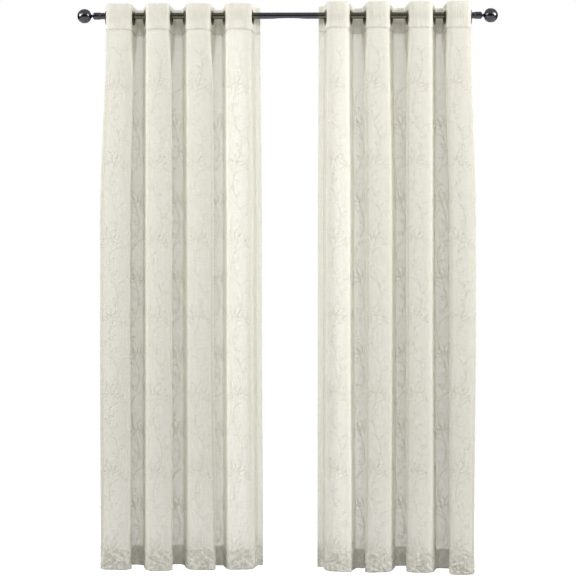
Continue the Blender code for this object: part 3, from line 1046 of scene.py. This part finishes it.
def motif():
    """One repeat as strokes of (across, down) points, with the width of the thread in each.

    A stem forks into two arms that curve up and away from it, each arm ends in two or three
    leaves, and a large open fan of leaves stands half-way to the next fork.
    """
    down = np.linspace(0.0, REPEAT_DOWN, 25)
    strokes = [(np.stack([stem_place(down), down], axis=-1), THREAD_WIDTH)]
    leaves = []
    for place, reaches in FORKS:
        x = float(stem_place(place))
        for bend_x, bend_down, end_x, end_down, count in reaches:
            end = (x + end_x, place + end_down)
            strokes.append((arm((x, place), (x + bend_x, place + bend_down), end), THREAD_WIDTH))
            turn = math.copysign(0.9, end_x)
            leaves += fan(end, turn, 0.28 * count, [0.026] * count, 0.011)
    for place, side_x, size, middle in FANS:
        foot = (float(stem_place(place)) + side_x, place)
        lengths = size * np.array([0.72, 0.88, 1.0, 0.96, 1.0, 0.88, 0.72])
        leaves += fan(foot, middle, 1.75, lengths, size * 0.36)
    for place, way in ((0.056, 1), (0.086, -1), (0.226, 1), (0.248, -1), (0.272, 1)):
        foot = (float(stem_place(place)), place)
        leaves.append(open_leaf(foot, way * 0.85, 0.027, 0.011))
    return strokes + [(leaf, LEAF_THREAD_WIDTH) for leaf in leaves]


def embroidered(side, cloth):
    """Points, faces and stroke coordinates of every stroke on one panel.

    Each stroke is carried as a flat lozenge section: its two edges lie in the cloth, and its two
    ridges stand in front of it and behind it. Its ends narrow to a point and are closed.
    """
    total = TOPS[side] - HEMS[side]
    columns = np.arange(EYELETS)
    rows = np.arange(-1, math.ceil(total / REPEAT_DOWN) + 1)
    column, row = (v.reshape(-1) for v in np.meshgrid(columns, rows))
    across = -MARGIN / 2 + (column + 0.62) * REPEAT_ACROSS
    down = FIRST_FORK + row * REPEAT_DOWN + (column % 2) * REPEAT_DOWN / 2
    mirror = np.where(column % 2 == 0, 1.0, -1.0)
    rings = [(i * PITCH, TOPS[side] - ring_centre(side, i + 1)[2]) for i in range(EYELETS)]
    all_points, all_faces, all_places = [], [], []
    first = 0
    for stroke, width in motif():
        along = across[:, None] + mirror[:, None] * stroke[:, 0]
        drop = down[:, None] + stroke[:, 1] - 0.02
        fits = (drop > 0.006) & (drop < total - 0.004)
        fits &= along > -MARGIN + EDGE_CLEARANCE
        fits &= along < (EYELETS - 1) * PITCH + MARGIN - EDGE_CLEARANCE
        for ring_along, ring_drop in rings:
            fits &= np.hypot(along - ring_along, drop - ring_drop) > RING_CLEARANCE
        kept = fits.all(axis=1)
        along, drop = along[kept], drop[kept]
        if not len(along):
            continue
        slope_along, slope_drop = np.gradient(along, axis=1), np.gradient(drop, axis=1)
        size = np.hypot(slope_along, slope_drop)
        side_along, side_drop = -slope_drop / size, slope_along / size
        share = np.linspace(0.0, 1.0, along.shape[1])
        taper = np.clip(np.minimum(share, 1 - share) * 9 + 0.12, 0.0, 1.0)
        half = width / 2 * taper
        high = THREAD_HEIGHT * (0.35 + 0.65 * taper)
        section = np.stack(
            [
                on_cloth(cloth, along + side_along * half, drop + side_drop * half),
                on_cloth(cloth, along, drop, np.broadcast_to(high, along.shape)),
                on_cloth(cloth, along - side_along * half, drop - side_drop * half),
                on_cloth(cloth, along, drop, np.broadcast_to(-high, along.shape)),
            ],
            axis=2,
        )
        count, steps = along.shape
        band = grid_faces(steps, 4, close_columns=True)
        caps = np.array([[0, 1, 2, 3], [3, 2, 1, 0]])
        caps[1] += (steps - 1) * 4
        one = np.concatenate([band[:, ::-1], caps[:, ::-1]])
        starts = first + np.arange(count) * steps * 4
        all_faces.append((one[None] + starts[:, None, None]).reshape(-1, 4))
        all_points.append(section.reshape(-1, 3))
        walked_length = np.cumsum(np.linalg.norm(np.diff(stroke, axis=0), axis=1))
        walked_length = np.concatenate([[0.0], walked_length])
        place = np.stack(
            np.broadcast_arrays(walked_length[None, :, None], np.array([0, 1, 2, 1]) * width / 2),
            axis=-1,
        )
        all_places.append(np.broadcast_to(place, (count, steps, 4, 2)).reshape(-1, 2))
        first += count * steps * 4
    return np.concatenate(all_points), np.concatenate(all_faces), np.concatenate(all_places)


thread = thread_material()
for side, cloth in cloths.items():
    points, faces, places = embroidered(side, cloth)
    vines = mesh_object(f"embroidery_{side}", points, faces, thread)
    strokes_map = vines.data.uv_layers.new(name="Stroke")
    strokes_map.data.foreach_set("uv", places[faces.reshape(-1)].reshape(-1))
    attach(vines, "root")


# The stitching
# Rows of small lock stitches hold the heading, the bottom hem and both side hems. Each stitch is a
# short length of thread that stands a little proud on both faces of the cloth.
STITCH_PITCH = 0.0042
STITCH_LENGTH = 0.0031
STITCH_WIDTH = 0.0007
STITCH_PROUD = 0.0005
SEAM_INSET = 0.0025
STITCH_FACES = np.array(
    [[0, 2, 4], [2, 1, 4], [1, 3, 4], [3, 0, 4], [2, 0, 5], [1, 2, 5], [3, 1, 5], [0, 3, 5]]
)


def stitched(cloth, start, end, half_thickness):
    """Points and faces of a row of stitches from start to end, both (length, drop).

    A stitch has six points: its ends, its sides, and its middle in front of and behind the cloth.
    """
    start, end = np.array(start), np.array(end)
    length = np.linalg.norm(end - start)
    forward = (end - start) / length
    sideways = np.array([-forward[1], forward[0]])
    middle = start + np.outer(np.arange(STITCH_PITCH / 2, length, STITCH_PITCH), forward)
    offsets = [
        -forward * STITCH_LENGTH / 2,
        forward * STITCH_LENGTH / 2,
        sideways * STITCH_WIDTH / 2,
        -sideways * STITCH_WIDTH / 2,
        (0.0, 0.0),
        (0.0, 0.0),
    ]
    high = half_thickness + STITCH_PROUD
    heights = np.array([0.0, 0.0, 0.0, 0.0, high, -high])
    places = middle[:, None, :] + np.array(offsets)[None]
    heights = np.broadcast_to(heights, places.shape[:2])
    points = on_cloth(cloth, places[..., 0], places[..., 1], heights)
    faces = STITCH_FACES[None] + 6 * np.arange(len(middle))[:, None, None]
    return points.reshape(-1, 3), faces.reshape(-1, 3)


for side, cloth in cloths.items():
    total = TOPS[side] - HEMS[side]
    low, high = -MARGIN + 0.002, (EYELETS - 1) * PITCH + MARGIN - 0.002
    heading_seam = HEADING_HEIGHT - SEAM_INSET
    hem_seam = total - HEM_HEIGHT + SEAM_INSET
    rows = [
        ((low, heading_seam), (high, heading_seam), HEADING_THICKNESS / 2),
        ((low, hem_seam), (high, hem_seam), HEM_THICKNESS / 2),
    ]
    for along in (-MARGIN + SIDE_HEM - SEAM_INSET, high + 0.002 - SIDE_HEM + SEAM_INSET):
        rows.append(((along, heading_seam + 0.004), (along, total - 0.003), HEM_THICKNESS * 0.6))
    all_points, all_faces, first = [], [], 0
    for start, end, half_thickness in rows:
        points, faces = stitched(cloth, start, end, half_thickness)
        all_points.append(points)
        all_faces.append(faces + first)
        first += len(points)
    stitches = mesh_object(
        f"stitching_{side}", np.concatenate(all_points), np.concatenate(all_faces), thread
    )
    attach(stitches, "root")


# The stage, the lights and the camera
# A white floor and a white surround, soft light from the front and both sides, daylight from behind
# that shines through the cloth, and a strip behind the gap. The camera looks level from mid height.
FLOOR_HEIGHT = -2.24
STAGE_EXTENT = 6.0
CAMERA_DISTANCE = 5.552
CAMERA_HEIGHT = -1.029
CAMERA_TURN = math.radians(0.7)
PIXELS = 576
PIXELS_PER_UNIT_ANGLE = 1461.0
ROD_MIDDLE_PIXEL = 287.3
LEVEL_PIXEL = 286.5
SENSOR = 36.0

stage_white, tree, output = material_named("stage_white")
path = node(tree, "ShaderNodeLightPath").outputs
strength = maths(tree, "MULTIPLY_ADD", path["Is Glossy Ray"], 0.75, 0.05)
strength = maths(tree, "MULTIPLY_ADD", path["Is Camera Ray"], 0.95, strength)
matt = node(tree, "ShaderNodeBsdfDiffuse", {"Color": (0.15, 0.15, 0.15, 1.0)}).outputs[0]
shine = node(tree, "ShaderNodeEmission", {"Strength": strength}).outputs[0]
both = node(tree, "ShaderNodeAddShader", {0: matt, 1: shine}).outputs[0]
tree.links.new(both, output.inputs[0])

corners = np.array([(-1.0, -1.0, 0.0), (1.0, -1.0, 0.0), (1.0, 1.0, 0.0), (-1.0, 1.0, 0.0)])
floor_points = corners * STAGE_EXTENT + (0.0, 0.0, FLOOR_HEIGHT)
floor = mesh_object("floor", floor_points, np.array([[0, 1, 2, 3]]), stage_white)

world = bpy.data.worlds.new("surround")
world.use_nodes = True
bpy.context.scene.world = world
tree = world.node_tree
tree.nodes.clear()
path = node(tree, "ShaderNodeLightPath").outputs
seen = maths(tree, "MULTIPLY_ADD", path["Is Camera Ray"], 0.73, 0.27)
direction = node(tree, "ShaderNodeTexCoord").outputs["Generated"]
rise = maths(tree, "ABSOLUTE", node(tree, "ShaderNodeSeparateXYZ", {0: direction}).outputs[2])
reflected = maths(tree, "MULTIPLY_ADD", rise, 3.2, -0.55, clamp=True)
reflected = maths(tree, "MULTIPLY_ADD", reflected, 0.60, -0.22)
seen = maths(tree, "MULTIPLY_ADD", path["Is Glossy Ray"], reflected, seen)
around = node(tree, "ShaderNodeBackground", {"Color": (1.0, 1.0, 1.0, 1.0), "Strength": seen})
output = node(tree, "ShaderNodeOutputWorld")
tree.links.new(around.outputs[0], output.inputs[0])

# Each light: where it is, what it looks at, its width and height, its power and its colour.
LIGHTS = {
    "key_left": ((-3.2, -2.8, 1.5), (0.0, 0.0, -0.9), (1.7, 1.4), 35.0, (1.0, 0.98, 0.95)),
    "key_right": ((3.2, -2.8, 1.5), (0.0, 0.0, -0.9), (1.7, 1.4), 39.0, (1.0, 0.98, 0.95)),
    "fill": ((0.3, -4.6, 1.1), (0.0, 0.0, -1.0), (2.4, 1.4), 44.0, (1.0, 0.98, 0.95)),
    "left_side": ((-4.4, -1.5, 0.7), (0.0, 0.0, -0.8), (2.2, 1.8), 145.0, (1.0, 0.99, 0.97)),
    "right_side": ((4.4, -1.5, 0.7), (0.0, 0.0, -0.8), (2.2, 1.8), 168.0, (1.0, 0.99, 0.97)),
    "daylight": ((0.0, 3.4, 0.4), (0.0, 0.0, -0.7), (3.2, 2.6), 84.0, (1.0, 0.99, 0.96)),
    "window": ((0.0, 0.28, -1.0), (0.0, 0.0, -1.0), (0.10, 2.0), 3.2, (0.95, 0.97, 1.0)),
}
for name, (place, aim, size, power, colour) in LIGHTS.items():
    lamp = bpy.data.lights.new(name, "AREA")
    lamp.shape = "RECTANGLE"
    lamp.size, lamp.size_y = size
    lamp.energy = power
    lamp.color = colour
    holder = bpy.data.objects.new(name, lamp)
    bpy.context.scene.collection.objects.link(holder)
    holder.visible_camera = False
    holder.visible_glossy = name != "fill"
    aimed = np.array(aim) - np.array(place)
    heading_angle = math.atan2(aimed[1], aimed[0]) - math.pi / 2
    tilt = math.atan2(math.hypot(aimed[0], aimed[1]), -aimed[2])
    holder.location = place
    holder.rotation_euler = (tilt, 0.0, heading_angle)

lens = bpy.data.cameras.new("camera")
lens.sensor_width = SENSOR
lens.lens = PIXELS_PER_UNIT_ANGLE / PIXELS * SENSOR
lens.clip_end = 50.0
lens.shift_x = (PIXELS / 2 - ROD_MIDDLE_PIXEL) / PIXELS
lens.shift_y = (LEVEL_PIXEL - PIXELS / 2) / PIXELS
camera = bpy.data.objects.new("camera", lens)
bpy.context.scene.collection.objects.link(camera)
camera.location = (
    CAMERA_DISTANCE * math.sin(CAMERA_TURN),
    -CAMERA_DISTANCE * math.cos(CAMERA_TURN),
    CAMERA_HEIGHT,
)
camera.rotation_euler = (math.pi / 2, 0.0, CAMERA_TURN)
bpy.context.scene.camera = camera
bpy.context.scene.view_settings.view_transform = "Standard"
